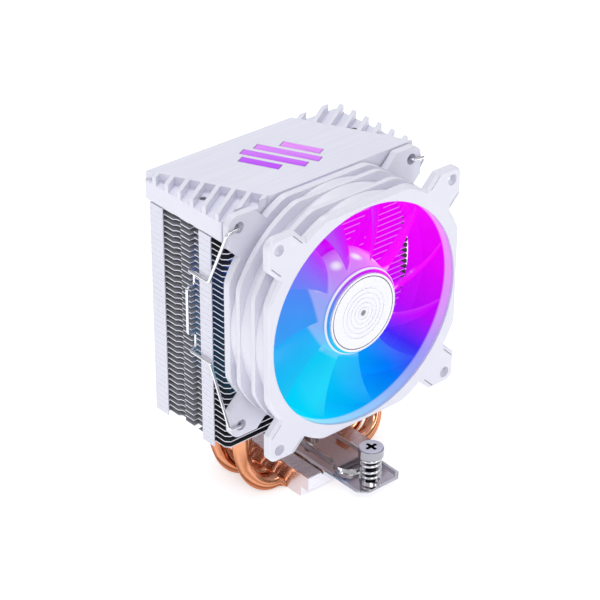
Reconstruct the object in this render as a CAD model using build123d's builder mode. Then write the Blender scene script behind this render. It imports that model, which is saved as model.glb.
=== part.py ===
from build123d import *
import math
import os

# CPU tower cooler for a desktop computer, in millimetres.
#
# Frame: the origin is the centre of the face that touches the processor, +Z runs up the
# tower, +X across the fins, and the fan blows from the -Y side through the fins to +Y.

os.makedirs("parts", exist_ok=True)

# ---------------------------------------------------------------- driving dimensions

# Base block and its heat pipes
base_width = 36.0              # across the block, where the pipes leave it
base_length = 54.0             # upper block, front to back
foot_length = 45.6             # lower foot that meets the processor
foot_height = 4.5
block_height = 6.1
pipe_d = 6.0
pipe_pressed_r = pipe_d * 7 / 12   # half-round section of the pipe pressed into its groove
pipe_rib = 0.4                 # metal left between two grooves
pipe_pitch = 2 * pipe_pressed_r + pipe_rib
pipe_lift = 0.1                # clear of the contact plane outside the block
pipe_swage = 3.0               # length over which the half-round turns round again
pipe_fit = 0.05                # clearance of a pipe in a groove or a fin hole
edge_break = 0.3               # small chamfer on machined edges

# Route of a pipe outside the base: how far past the swage its first corner and its leg
# stand, the height between its two corners, and the radius of each bend. The first and
# third pipes stand wide, and the other two lean back in between them.
wide_leg = {"corner": 10.0, "leg": 13.0, "rise": 14.0, "radii": (11.0, 25.0)}
inner_leg = {"corner": 11.0, "leg": 4.1, "rise": 21.0, "radii": (8.0, 12.0)}
pipe_legs = (wide_leg, inner_leg, wide_leg, inner_leg)
first_leg_y = -6.1             # leg of the front pipe; the others follow at the pipe pitch
pipe_tip_gap = 0.7             # below the cover's inside

# Tower of fins
fin_front_y = -12.7
fin_width = 90.6               # across the fin edges
fin_depth = 45.6
fin_t = 0.4
fin_pitch = 2.34
fin_count = 38
fin_bottom_z = 28.5
fin_corner = 1.6               # chamfer of the front corners
tab_proud = 0.96               # folded tabs stand out from the fin edge
tab_front_in = (6.8, 13.5)     # front tab, from and to behind the fin's front
tab_rear_in = (11.1, 3.6)      # rear tab, from and to ahead of the fin's rear
tab_gap = 0.04                 # between a tab and the fin below
clip_groove_in = (17.4, 20.1)  # groove that the wire clip hooks into
clip_groove_depth = 2.6
spare_notch_in = 27.4          # round notch for a clip of a second fan
spare_notch_r = 2.4
spare_notch_cut = 1.1          # centre of the notch outside the fin edge
rear_tooth_depth = 2.2
rear_tooth_count = 6

# End plate and top cover
end_plate_t = 1.2
end_plate_gap = 0.9            # above the top fin
end_plate_margin = 3.6         # inside the cover outline
end_plate_corner_r = 2.0
end_plate_window = (30.0, 20.0, 3.0)   # opening for the light board, and its corner radius
cover_gap = 0.72               # above the top fin
cover_setback = 0.7            # of the cover from the fin's front and rear
cover_height = 10.5
cover_wall = 1.6
cover_roof = 1.8
cover_corner_r = 0.8
pocket_depth = 3.1
pocket_floor_t = 1.6
rib_t = 1.85
rib_pitch = 7.2                # along the side face
rib_count = 8
rib_tilt = 33.0                # degrees from straight across the cover
rib_first_in = {-1: 16.05, 1: 17.6}    # first rib on each side, from the tower's centre
deck_wide_in = 0.9             # slanted edge of the flat deck, in from the side face
deck_narrow_in = 22.4          # at its outer and at its inner end
cover_screw_in = 6.86          # cover screws, in from the side face
cover_screw_dy = 3.7           # left screw ahead of the tower's centre, right one behind
cover_screw_d = 1.4
cover_screw_head_d = 2.3
cover_screw_head_h = 0.8
cover_screw_sink = 0.25        # radial room round the head, which is sunk in the floor
cover_screw_cross = (1.5, 0.4, 0.4)    # length, width and depth of the cross recess
cover_boss_r = 2.2
screw_slip = 0.05              # radial clearance of a screw in its hole

# Lit inlay: plain slanted bars in the deck
lens_bar_width = 4.0
lens_bar_pitch = 6.6
lens_bar_lengths = (16.0, 26.0, 26.0, 16.0)
lens_base = (32.0, 28.0, 2.0)  # width, depth and corner radius
lens_base_t = 1.2
lens_slip = 0.06
light_board = (40.5, 22.0, 1.5)
light_board_t = 1.0
light_board_drop = 1.5         # below the lens base
board_peg_r = 1.3
board_peg_place = (18.0, -4.0)
led_size = 1.6
led_h = 0.7
led_row_pitch = 8.0

# Mounting bar across the base, and its sprung screws
mount_pitch = 84.2             # between the two sprung screws
mount_screw_d = 4.0
mount_hole_d = mount_screw_d + 1.0
mount_thread_d = mount_screw_d - 0.5
mount_thread_length = 3.0
mount_point = 0.5              # chamfer at the screw's tip
mount_head_h = 3.7
mount_head_top = 25.0
mount_tip_z = 4.9
mount_cross = (5.0, 1.3, 1.8)
bar_length = mount_pitch + 14.8
bar_width = 21.6
bar_z = 9.4                    # underside of the bar
bar_floor_t = 1.0
bar_rim_h = 2.0                # rim, measured from the underside
bar_rim_t = 1.5
bar_edge_r = 0.6
bar_corner = 3.2
bar_slip = 0.5                 # each side of the bar in the base's channel
plateau_h = 2.0                # above the bar's floor
plateau_neck_half = 4.4
plateau_lobe_r = 6.8
plateau_lobe_in = 11.7         # centre of a lobe, in from the sprung screw
plateau_blend_r = 4.0
plateau_taper = 20.0
bar_screw_y = 8.0
bar_screw_d = 3.0
bar_screw_head_d = 5.6
bar_screw_head_h = 1.8
bar_screw_tip_gap = 0.5        # to the bottom of the tapped hole
bar_screw_cross = (3.2, 0.8, 1.0)
spring_wire_d = 1.2
spring_id = mount_screw_d + 1.9
spring_od = spring_id + 2 * spring_wire_d
spring_turns = 4.0
spring_slip = 0.02             # between the spring and the faces it stands between
mount_head_d = spring_od + 1.4
washer_d = spring_od + 0.3
washer_t = 0.9
ring_t = 0.6                   # retaining ring under the bar
ring_d = mount_hole_d + 2.0
ring_groove_d = mount_screw_d - 0.8
ring_mouth = 2.6
ring_gap = 0.05                # under the bar
ring_slip = 0.02               # above and below the ring in its groove

# Fan
fan_size = 92.0
fan_depth = 25.0
fan_gap = 0.1                  # between the fan and the fins
fan_foot_z = 34.4              # lower edge of the fan
fan_hole_in = 4.75             # screw holes, in from the fan's edges
fan_hole_d = 4.3
flange_t = 3.2
flange_bevel = 0.9
flange_corner_r = 4.0
ear_width = 17.0
ring_proud = 4.0               # flanges and ridges between the ears, past half the size
ring_blend_r = 9.0
ridge_t = 2.3
ridge_places = (7.7, 16.1)     # front faces of the ridges, behind the fan's front
duct_wall = 1.8
mouth_in = 2.0                 # duct's radius, short of half the size
light_ring_t = 0.9
light_ring_ends = (1.2, 17.0)  # behind the fan's front
light_ring_slip = 0.05
panel_line_w = 0.35
panel_line_depth = 0.3
panel_side_line = (53.4, 6.9, 6.0)     # lines along an ear: radius, offset and length
panel_arc = (47.0, 5.4, 62.0)          # arc round the screw hole: centre, radius, half angle
motor_base_r = 19.5
motor_base_t = 2.2
strut_count = 4
strut_w = 3.4
strut_t = 3.0
strut_root = 0.7               # how far a strut runs into the duct and into the base
strut_setback = 0.3            # of the struts from the fan's rear face
cord_notch = (3.0, 4.0)        # width, and length across the flange's edge
cord_notch_in = 14.0

# Rotor
blade_count = 11
blade_tip_gap = 0.9            # to the mouth radius
blade_t = 1.1
blade_edge_t = 0.24            # thickness along the leading and trailing edges
blade_camber = 0.09            # of the chord
blade_front = 4.4              # behind the fan's front
blade_rear = 19.6
blade_root_angle = 56.0        # pitch from the plane of rotation, at the hub
blade_tip_angle = 32.0
blade_sweep = 22.0             # degrees that the tip leads the root
blade_sweep_power = 1.4
hub_front = 2.5
hub_front_r = 17.2
hub_rear_r = 20.0
hub_rear = 17.4
hub_wall = 1.4
hub_front_t = 2.2
hub_edge = 0.8                 # bevel round the hub's front
cap_in = 1.6                   # cap's radius, short of the hub's
cap_t = 0.9
cap_ring_count = 5
cap_ring_first_r = 2.4
cap_ring_pitch = 1.9
cap_ring_w = 0.5
cap_ring_depth = 0.12
cap_rim_groove = (1.1, 0.4, 0.4)       # in from the rim, width and depth
yoke_in = 0.9                  # gap between the yoke and the hub's wall
yoke_wall = 1.0
yoke_length = 12.0
magnet_wall = 1.2
magnet_ends = (1.4, 0.2)       # behind the yoke's plate, ahead of its rear edge
air_gap = 0.5
shaft_r = 1.5
shaft_running = 0.03
shaft_overrun = 1.0            # past the bearing
shaft_clip_r = shaft_r + 1.1
shaft_clip_t = 0.5
shaft_clip_gap = 0.2           # behind the bearing
shaft_groove = 0.4

# Fixed side of the motor
sleeve_r = 3.2
sleeve_length = 14.0
sleeve_fit = 0.05
tube_wall = 1.2
bearing_cap_t = 0.8
stator_gap = 2.6               # behind the yoke's plate
stator_length = 7.0
stator_poles = 4
stator_ring_t = 1.6
stator_slot = (2.4, 4.2)       # depth and width of the gaps between poles
stator_arm_w = 3.0
coil_turn_w = 1.6              # on each side of an arm
coil_slip = 0.05
coil_gap = 0.3                 # to the core's inner and outer rings
coil_overhang = 1.5            # past each end of the core
board_r = 17.4
board_t = 1.0
fan_led_count = 8
fan_led_in = 1.6               # in from the board's edge

# Wire clips that hold the fan
wire_d = 1.2
clip_side_gap = 1.04           # wire's centre beside the tower or the fan
clip_leave = 0.65              # below the screw hole, where the wire leaves the flange
clip_knee_z = 17.0             # bend beside the front tab, from the fan axis
clip_hook_in = 0.85            # wire's centre in the groove, in from the fin edge
clip_finger_out = 0.7          # finger bar, outside the side wire
clip_finger_half = 10.2
clip_slant = 0.6               # drop of the wire where it turns in or out
clip_bend_r = 1.3
clip_end_depth = 2.0           # into the flange hole
clip_lift = 0.1                # wire clear of the flange's face

# ---------------------------------------------------------------- derived places

tower_y = fin_front_y + fin_depth / 2
fin_rear_y = fin_front_y + fin_depth
tab_front = [fin_front_y + d for d in tab_front_in]
tab_rear = [fin_rear_y - d for d in tab_rear_in]
clip_groove = [fin_front_y + d for d in clip_groove_in]
fan_front_y = fin_front_y - fan_gap - fan_depth
fan_axis_z = fan_foot_z + fan_size / 2
fan_hole_half = fan_size / 2 - fan_hole_in
mouth_r = fan_size / 2 - mouth_in
fin_top_z = fin_bottom_z + (fin_count - 1) * fin_pitch + fin_t
end_plate_z = fin_top_z + end_plate_gap
cover_half_width = fin_width / 2 + tab_proud
cover_depth = fin_depth - 2 * cover_setback
cover_base_z = fin_top_z + cover_gap
cover_top_z = cover_base_z + cover_height
pocket_floor_z = cover_top_z - pocket_depth
cavity_top_z = pocket_floor_z - pocket_floor_t
deck_under_z = cover_top_z - cover_roof
deck_wide_x = cover_half_width - deck_wide_in
deck_narrow_x = cover_half_width - deck_narrow_in
deck_tilt = math.degrees(math.atan2(deck_wide_x - deck_narrow_x, cover_depth))
pipe_tip_z = cavity_top_z - pipe_tip_gap
pipe_ys = [pipe_pitch * (i - 1.5) for i in range(4)]
pipe_centre_z = pipe_d / 2 + pipe_lift
swage_end_x = base_width / 2 + pipe_swage
bar_floor_z = bar_z + bar_floor_t
plateau_top_z = bar_floor_z + plateau_h
plateau_lobe_y = mount_pitch / 2 - plateau_lobe_in


def save(builder, name):
    """Label a finished piece and write it to its own file."""
    builder.part.label = name
    export_step(builder.part, f"parts/{name}.step")


def fan_plane(behind):
    """Plane across the fan, so far behind its front face, facing the tower."""
    origin = (0, fan_front_y + behind, fan_axis_z)
    return Plane(origin=origin, x_dir=(1, 0, 0), z_dir=(0, 1, 0))


def fan_section():
    """Half plane through the fan axis: X is the radius, Y the distance behind the front."""
    origin = (0, fan_front_y, fan_axis_z)
    return Plane(origin=origin, x_dir=(1, 0, 0), z_dir=(0, 0, 1))


fan_axis = Axis((0, fan_front_y, fan_axis_z), (0, 1, 0))


def cut_cross(x, y, top_z, size, turn=45):
    """Cross recess cut down into the part being built: length, width and depth."""
    length, width, depth = size
    with BuildSketch(Plane.XY.offset(top_z - depth)) as cross:
        with Locations((x, y)):
            Rectangle(length, width, rotation=turn)
            Rectangle(length, width, rotation=turn + 90)
    extrude(cross.sketch, amount=depth, mode=Mode.SUBTRACT)


# ---------------------------------------------------------------- base block

with BuildPart() as base_block:
    with BuildSketch():
        Rectangle(base_width, foot_length)
    extrude(amount=foot_height)
    with BuildSketch(Plane.XY.offset(foot_height)):
        Rectangle(base_width, base_length)
    extrude(amount=block_height)
    chamfer(base_block.faces().sort_by(Axis.Z)[-1].edges(), length=edge_break)
    # channel that the mounting bar lies in
    with BuildSketch(Plane.XY.offset(bar_z)):
        Rectangle(bar_width + 2 * bar_slip, 2 * base_length)
    extrude(amount=block_height, mode=Mode.SUBTRACT)
    # half-round grooves for the pipes
    with BuildSketch(Plane.YZ.offset(-base_width)):
        with Locations([(y, 0) for y in pipe_ys]):
            Circle(pipe_pressed_r + pipe_fit)
    extrude(amount=2 * base_width, mode=Mode.SUBTRACT)
    # tapped holes for the bar's screws
    with BuildSketch(Plane.XY.offset(foot_height)):
        with Locations((0, bar_screw_y), (0, -bar_screw_y)):
            Circle(bar_screw_d / 2 + screw_slip)
    extrude(amount=block_height, mode=Mode.SUBTRACT)
save(base_block, "base_block")

# ---------------------------------------------------------------- heat pipes

leg_xs = [swage_end_x + route["leg"] for route in pipe_legs]
leg_ys = [first_leg_y + i * pipe_pitch for i in range(4)]


def build_pipe(base_y, leg_x, leg_y, shape):
    """One U-shaped pipe: pressed flat in the base, round in both legs, closed tips."""
    with BuildPart() as pipe:
        with BuildSketch(Plane.YZ.offset(-base_width / 2)):
            with Locations((base_y, 0)):
                Circle(pipe_pressed_r)
            with Locations((base_y, -pipe_pressed_r)):
                Rectangle(4 * pipe_pressed_r, 2 * pipe_pressed_r, mode=Mode.SUBTRACT)
        extrude(amount=base_width)
        for side in (-1, 1):
            with BuildSketch(Plane.YZ.offset(side * base_width / 2)):
                with Locations((base_y, 0)):
                    Circle(pipe_pressed_r)
                with Locations((base_y, -pipe_pressed_r)):
                    Rectangle(4 * pipe_pressed_r, 2 * pipe_pressed_r, mode=Mode.SUBTRACT)
            with BuildSketch(Plane.YZ.offset(side * swage_end_x)):
                with Locations((base_y, pipe_centre_z)):
                    Circle(pipe_d / 2)
            loft()
            with BuildLine() as route:
                FilletPolyline(
                    (side * swage_end_x, base_y, pipe_centre_z),
                    (side * (swage_end_x + shape["corner"]), base_y, pipe_centre_z),
                    (side * leg_x, leg_y, pipe_centre_z + shape["rise"]),
                    (side * leg_x, leg_y, pipe_tip_z - pipe_d / 2),
                    radius=shape["radii"],
                )
            with BuildSketch(Plane.YZ.offset(side * swage_end_x)):
                with Locations((base_y, pipe_centre_z)):
                    Circle(pipe_d / 2)
            sweep(path=route.wires()[0])
            with Locations((side * leg_x, leg_y, pipe_tip_z - pipe_d / 2)):
                Sphere(pipe_d / 2)
    return pipe


for number in range(4):
    heat_pipe = build_pipe(pipe_ys[number], leg_xs[number], leg_ys[number], pipe_legs[number])
    save(heat_pipe, f"heat_pipe_{number + 1}")

leg_places = [(side * x, y) for side in (-1, 1) for x, y in zip(leg_xs, leg_ys)]

# ---------------------------------------------------------------- fins


def fin_outline():
    """One fin seen from above, with tabs, clip grooves and a toothed rear edge."""
    edge = fin_width / 2
    tooth = 2 * (edge - fin_corner) / rear_tooth_count
    half = [
        (0, fin_front_y),
        (edge - fin_corner, fin_front_y),
        (edge, fin_front_y + fin_corner),
        (edge, tab_front[0]),
        (edge + tab_proud, tab_front[0]),
        (edge + tab_proud, tab_front[1]),
        (edge, tab_front[1]),
        (edge, clip_groove[0]),
        (edge - clip_groove_depth, clip_groove[0]),
        (edge - clip_groove_depth, clip_groove[1]),
        (edge, clip_groove[1]),
        (edge, tab_rear[0]),
        (edge + tab_proud, tab_rear[0]),
        (edge + tab_proud, tab_rear[1]),
        (edge, tab_rear[1]),
        (edge - fin_corner, fin_rear_y),
    ]
    teeth = []
    for i in range(rear_tooth_count // 2):
        crest_x = edge - fin_corner - i * tooth
        teeth.append((crest_x - tooth / 2, fin_rear_y - rear_tooth_depth))
        teeth.append((crest_x - tooth, fin_rear_y))
    right = half + teeth
    left = [(-x, y) for x, y in reversed(right[1:-1])]
    Polygon(*right, *left, align=None)
    notch_x, notch_y = edge + spare_notch_cut, fin_front_y + spare_notch_in
    with Locations((notch_x, notch_y), (-notch_x, notch_y)):
        Circle(spare_notch_r, mode=Mode.SUBTRACT)
    with Locations(leg_places):
        Circle(pipe_d / 2 + pipe_fit, mode=Mode.SUBTRACT)


with BuildPart() as fin:
    with BuildSketch():
        fin_outline()
    extrude(amount=fin_t)
    # tabs fold down to the fin below
    for span in (tab_front, tab_rear):
        with BuildSketch():
            for side in (-1, 1):
                with Locations((side * (fin_width / 2 + tab_proud - fin_t / 2), sum(span) / 2)):
                    Rectangle(fin_t, span[1] - span[0])
        extrude(amount=-(fin_pitch - fin_t - tab_gap))

with BuildPart() as fin_stack:
    fin_heights = [(0, 0, fin_bottom_z + i * fin_pitch) for i in range(fin_count)]
    with Locations(fin_heights):
        add(fin.part)
save(fin_stack, "fin_stack")

# ---------------------------------------------------------------- end plate

cover_screw_places = [
    (-cover_half_width + cover_screw_in, tower_y - cover_screw_dy),
    (cover_half_width - cover_screw_in, tower_y + cover_screw_dy),
]

with BuildPart() as end_plate:
    with BuildSketch(Plane.XY.offset(end_plate_z)):
        with Locations((0, tower_y)):
            RectangleRounded(
                2 * (cover_half_width - end_plate_margin),
                cover_depth - 2 * end_plate_margin,
                end_plate_corner_r,
            )
        with Locations(leg_places):
            Circle(pipe_d / 2 + pipe_fit, mode=Mode.SUBTRACT)
        with Locations(cover_screw_places):
            Circle(cover_screw_d / 2 + screw_slip, mode=Mode.SUBTRACT)
        with Locations((0, tower_y)):
            RectangleRounded(*end_plate_window, mode=Mode.SUBTRACT)
    extrude(amount=end_plate_t)
save(end_plate, "end_plate")

# ---------------------------------------------------------------- top cover


def deck_edge(side, inset=0.0):
    """Ends of one slanted edge of the deck, run on past the cover's front and rear.

    The two edges are half a turn apart: the left one is narrow at the front, the right one
    narrow at the rear.
    """
    slope = (deck_wide_x - deck_narrow_x) / cover_depth
    middle = (deck_wide_x + deck_narrow_x) / 2 - inset / math.cos(math.radians(deck_tilt))
    run = slope * cover_depth
    narrow_end = (side * (middle - run), tower_y + side * cover_depth)
    wide_end = (side * (middle + run), tower_y - side * cover_depth)
    return narrow_end, wide_end


def pocket_outline(side):
    """Area outside the deck's slanted edge, past the cover on the other three sides."""
    near, far = deck_edge(side)
    outer = side * 3 * cover_half_width
    Polygon(near, far, (outer, far[1]), (outer, near[1]), align=None)


def cover_outline(inset=0.0):
    """Plan of the cover, or of its inside."""
    with Locations((0, tower_y)):
        RectangleRounded(
            2 * (cover_half_width - inset), cover_depth - 2 * inset, cover_corner_r
        )


def lens_bars(grow=0.0):
    """The slanted bars of the lit inlay."""
    for i, length in enumerate(lens_bar_lengths):
        place = (i - (len(lens_bar_lengths) - 1) / 2) * lens_bar_pitch
        with Locations((place, tower_y)):
            Rectangle(lens_bar_width + 2 * grow, length + 2 * grow, rotation=deck_tilt)


peg_x, peg_y = board_peg_place
peg_places = [(peg_x, tower_y + peg_y), (-peg_x, tower_y - peg_y)]

with BuildPart() as top_cover:
    with BuildSketch(Plane.XY.offset(cover_base_z)):
        cover_outline()
    extrude(amount=cover_height)
    # open pockets outside the slanted deck
    with BuildSketch(Plane.XY.offset(pocket_floor_z)) as pockets:
        pocket_outline(-1)
        pocket_outline(1)
    extrude(amount=cover_height, mode=Mode.SUBTRACT)
    # slanted ribs across the pockets, level with the deck
    with BuildSketch(Plane.XY.offset(pocket_floor_z)) as ribs:
        for side in (-1, 1):
            for i in range(rib_count):
                end_y = tower_y - side * (rib_first_in[side] - i * rib_pitch)
                with Locations((side * cover_half_width, end_y)):
                    Rectangle(2 * cover_half_width, rib_t, rotation=rib_tilt)
        add(pockets.sketch_local, mode=Mode.INTERSECT)
        with Locations((0, tower_y)):
            Rectangle(2 * cover_half_width, cover_depth, mode=Mode.INTERSECT)
    extrude(amount=pocket_depth)
    # hollow inside, deeper under the deck
    with BuildSketch(Plane.XY.offset(cover_base_z)):
        cover_outline(cover_wall)
    extrude(amount=cavity_top_z - cover_base_z, mode=Mode.SUBTRACT)
    with BuildSketch(Plane.XY.offset(cavity_top_z)):
        Polygon(*deck_edge(-1, cover_wall), *deck_edge(1, cover_wall), align=None)
        with Locations((0, tower_y)):
            Rectangle(
                2 * (cover_half_width - cover_wall),
                cover_depth - 2 * cover_wall,
                mode=Mode.INTERSECT,
            )
    extrude(amount=deck_under_z - cavity_top_z, mode=Mode.SUBTRACT)
    # bosses for the cover screws, down to the end plate
    boss_foot_z = end_plate_z + end_plate_t
    with BuildSketch(Plane.XY.offset(boss_foot_z)):
        with Locations(cover_screw_places):
            Circle(cover_boss_r)
    extrude(amount=cavity_top_z - boss_foot_z)
    # pegs that the light board hangs from
    board_top_z = deck_under_z - lens_base_t - light_board_drop
    with BuildSketch(Plane.XY.offset(board_top_z)):
        with Locations(peg_places):
            Circle(board_peg_r)
    extrude(amount=deck_under_z - board_top_z)
    # holes for the screws and slots for the inlay
    with BuildSketch(Plane.XY.offset(boss_foot_z)):
        with Locations(cover_screw_places):
            Circle(cover_screw_d / 2 + screw_slip)
    extrude(amount=pocket_floor_z - boss_foot_z, mode=Mode.SUBTRACT)
    with BuildSketch(Plane.XY.offset(pocket_floor_z - cover_screw_head_h)):
        with Locations(cover_screw_places):
            Circle(cover_screw_head_d / 2 + cover_screw_sink)
    extrude(amount=cover_screw_head_h, mode=Mode.SUBTRACT)
    with BuildSketch(Plane.XY.offset(deck_under_z)):
        lens_bars(lens_slip)
    extrude(amount=cover_roof, mode=Mode.SUBTRACT)
save(top_cover, "top_cover")

with BuildPart() as cover_lens:
    with BuildSketch(Plane.XY.offset(deck_under_z - lens_base_t)):
        with Locations((0, tower_y)):
            RectangleRounded(*lens_base)
    extrude(amount=lens_base_t)
    with BuildSketch(Plane.XY.offset(deck_under_z)):
        lens_bars()
    extrude(amount=cover_roof)
save(cover_lens, "cover_lens")

with BuildPart() as cover_light_board:
    with BuildSketch(Plane.XY.offset(board_top_z - light_board_t)):
        with Locations((0, tower_y)):
            RectangleRounded(*light_board)
    extrude(amount=light_board_t)
save(cover_light_board, "cover_light_board")

with BuildPart() as cover_leds:
    with BuildSketch(Plane.XY.offset(board_top_z)):
        with Locations((0, tower_y)):
            with GridLocations(lens_bar_pitch, led_row_pitch, len(lens_bar_lengths), 2):
                Rectangle(led_size, led_size)
    extrude(amount=led_h)
save(cover_leds, "cover_leds")

with BuildPart() as cover_screws:
    with BuildSketch(Plane.XY.offset(end_plate_z)):
        with Locations(cover_screw_places):
            Circle(cover_screw_d / 2)
    extrude(amount=pocket_floor_z - cover_screw_head_h - end_plate_z)
    with BuildSketch(Plane.XY.offset(pocket_floor_z - cover_screw_head_h)):
        with Locations(cover_screw_places):
            Circle(cover_screw_head_d / 2)
    extrude(amount=cover_screw_head_h)
    for x, y in cover_screw_places:
        cut_cross(x, y, pocket_floor_z, cover_screw_cross)
save(cover_screws, "cover_screws")

# ---------------------------------------------------------------- mounting bar

mount_places = [(0, -mount_pitch / 2), (0, mount_pitch / 2)]
bar_screw_places = [(0, -bar_screw_y), (0, bar_screw_y)]


def bar_outline(inset=0.0):
    """Plan of the bar: a long rectangle with its corners cut off."""
    half_x = bar_width / 2 - inset
    half_y = bar_length / 2 - inset
    cut = bar_corner - inset * (2 - math.sqrt(2))
    rear = [(half_x, half_y - cut), (half_x - cut, half_y)]
    rear += [(-x, y) for x, y in reversed(rear)]
    Polygon(*rear, *[(-x, -y) for x, y in rear], align=None)


with BuildPart() as mounting_bar:
    with BuildSketch(Plane.XY.offset(bar_z)):
        bar_outline()
    extrude(amount=bar_rim_h)
    fillet(mounting_bar.faces().sort_by(Axis.Z)[-1].edges(), radius=bar_edge_r)
    with BuildSketch(Plane.XY.offset(bar_floor_z)):
        bar_outline(bar_rim_t)
    extrude(amount=bar_rim_h, mode=Mode.SUBTRACT)
    # raised middle that stiffens the bar, with a round lobe at each end
    with BuildSketch(Plane.XY.offset(bar_floor_z)) as plateau:
        Rectangle(2 * plateau_neck_half, 2 * plateau_lobe_y)
        with Locations((0, plateau_lobe_y), (0, -plateau_lobe_y)):
            Circle(plateau_lobe_r)
        fillet(
            plateau.vertices().filter_by(lambda v: abs(abs(v.X) - plateau_neck_half) < 0.01),
            radius=plateau_blend_r,
        )
    extrude(amount=plateau_h, taper=plateau_taper)
    with BuildSketch(Plane.XY.offset(bar_z)):
        with Locations(mount_places):
            Circle(mount_hole_d / 2)
        with Locations(bar_screw_places):
            Circle(bar_screw_d / 2 + screw_slip)
    extrude(amount=bar_rim_h + plateau_h, mode=Mode.SUBTRACT)
save(mounting_bar, "mounting_bar")

with BuildPart() as bar_screws:
    bar_screw_foot_z = foot_height + bar_screw_tip_gap
    with BuildSketch(Plane.XY.offset(bar_screw_foot_z)):
        with Locations(bar_screw_places):
            Circle(bar_screw_d / 2)
    extrude(amount=plateau_top_z - bar_screw_foot_z)
    with BuildSketch(Plane.XY.offset(plateau_top_z)):
        with Locations(bar_screw_places):
            Circle(bar_screw_head_d / 2)
    extrude(amount=bar_screw_head_h)
    for x, y in bar_screw_places:
        cut_cross(x, y, plateau_top_z + bar_screw_head_h, bar_screw_cross)
save(bar_screws, "bar_screws")

# ---------------------------------------------------------------- sprung screws

washer_top_z = bar_floor_z + washer_t
head_foot_z = mount_head_top - mount_head_h
ring_top_z = bar_z - ring_gap

for place, name in zip(mount_places, ("front", "rear")):
    with BuildPart() as spring_screw:
        with Locations((place[0], place[1], head_foot_z)):
            Cylinder(mount_head_d / 2, mount_head_h, align=(Align.CENTER, Align.CENTER, Align.MIN))
        chamfer(spring_screw.faces().sort_by(Axis.Z)[-1].edges(), length=edge_break)
        with Locations((place[0], place[1], mount_tip_z)):
            Cylinder(
                mount_thread_d / 2,
                mount_thread_length,
                align=(Align.CENTER, Align.CENTER, Align.MIN),
            )
        shank_z = mount_tip_z + mount_thread_length
        with Locations((place[0], place[1], shank_z)):
            Cylinder(
                mount_screw_d / 2,
                head_foot_z - shank_z,
                align=(Align.CENTER, Align.CENTER, Align.MIN),
            )
        chamfer(spring_screw.faces().sort_by(Axis.Z)[0].edges(), length=mount_point)
        # groove for the retaining ring
        with BuildSketch(Plane.XY.offset(ring_top_z - ring_t - ring_slip)):
            with Locations(place):
                Circle(mount_screw_d)
                Circle(ring_groove_d / 2, mode=Mode.SUBTRACT)
        extrude(amount=ring_t + 2 * ring_slip, mode=Mode.SUBTRACT)
        cut_cross(*place, mount_head_top, mount_cross, turn=0)
    save(spring_screw, f"spring_screw_{name}")

    with BuildPart() as screw_washer:
        with BuildSketch(Plane.XY.offset(bar_floor_z)):
            with Locations(place):
                Circle(washer_d / 2)
                Circle(mount_hole_d / 2, mode=Mode.SUBTRACT)
        extrude(amount=washer_t)
    save(screw_washer, f"screw_washer_{name}")

    with BuildPart() as screw_spring:
        wire_r = spring_wire_d / 2
        coil_r = spring_od / 2 - wire_r
        coil_foot_z = washer_top_z + wire_r + spring_slip
        coil_height = head_foot_z - wire_r - spring_slip - coil_foot_z
        with BuildLine() as coil:
            Helix(
                pitch=coil_height / spring_turns,
                height=coil_height,
                radius=coil_r,
                center=(place[0], place[1], coil_foot_z),
            )
        with BuildSketch(Plane(origin=coil.line @ 0, z_dir=coil.line % 0)):
            Circle(wire_r)
        sweep(path=coil.wires()[0], is_frenet=True)
    save(screw_spring, f"screw_spring_{name}")

    with BuildPart() as retaining_ring:
        with BuildSketch(Plane.XY.offset(ring_top_z - ring_t)):
            with Locations(place):
                Circle(ring_d / 2)
                Circle(ring_groove_d / 2 + screw_slip, mode=Mode.SUBTRACT)
            with Locations((place[0] + ring_d / 2, place[1])):
                Rectangle(ring_d, ring_mouth, mode=Mode.SUBTRACT)
        extrude(amount=ring_t)
    save(retaining_ring, f"retaining_ring_{name}")

# ---------------------------------------------------------------- fan frame

rear_flange_front = fan_depth - flange_t
motor_base_front = fan_depth - strut_t
tube_front = motor_base_front - sleeve_length
fan_holes = [(x * fan_hole_half, y * fan_hole_half) for x in (-1, 1) for y in (-1, 1)]
duct_r = mouth_r + light_ring_t

with BuildSketch() as ring_outline:
    Circle(fan_size / 2 + ring_proud)
    Rectangle(fan_size, fan_size, mode=Mode.INTERSECT)
    fillet(ring_outline.vertices(), radius=ring_blend_r)

with BuildSketch() as flange_outline:
    add(ring_outline.sketch)
    for angle in (45, -45):
        Rectangle(ear_width, 2 * fan_size, rotation=angle)
    RectangleRounded(fan_size, fan_size, flange_corner_r, mode=Mode.INTERSECT)


def cut_fan_holes():
    """Cut the four screw holes through the flange being built."""
    with BuildSketch(fan_plane(0)) as holes:
        with Locations(fan_holes):
            Circle(fan_hole_d / 2)
    extrude(holes.sketch, amount=fan_depth, mode=Mode.SUBTRACT)


def cut_duct():
    """Cut the duct, stepped out behind its mouth for the light ring."""
    with BuildSketch(fan_plane(0)) as mouth:
        Circle(mouth_r)
    extrude(mouth.sketch, amount=fan_depth, mode=Mode.SUBTRACT)
    with BuildSketch(fan_plane(light_ring_ends[0])) as step:
        Circle(duct_r)
    extrude(step.sketch, amount=light_ring_ends[1] - light_ring_ends[0], mode=Mode.SUBTRACT)


# The frame is one moulding, kept in three pieces that meet face to face.

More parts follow.
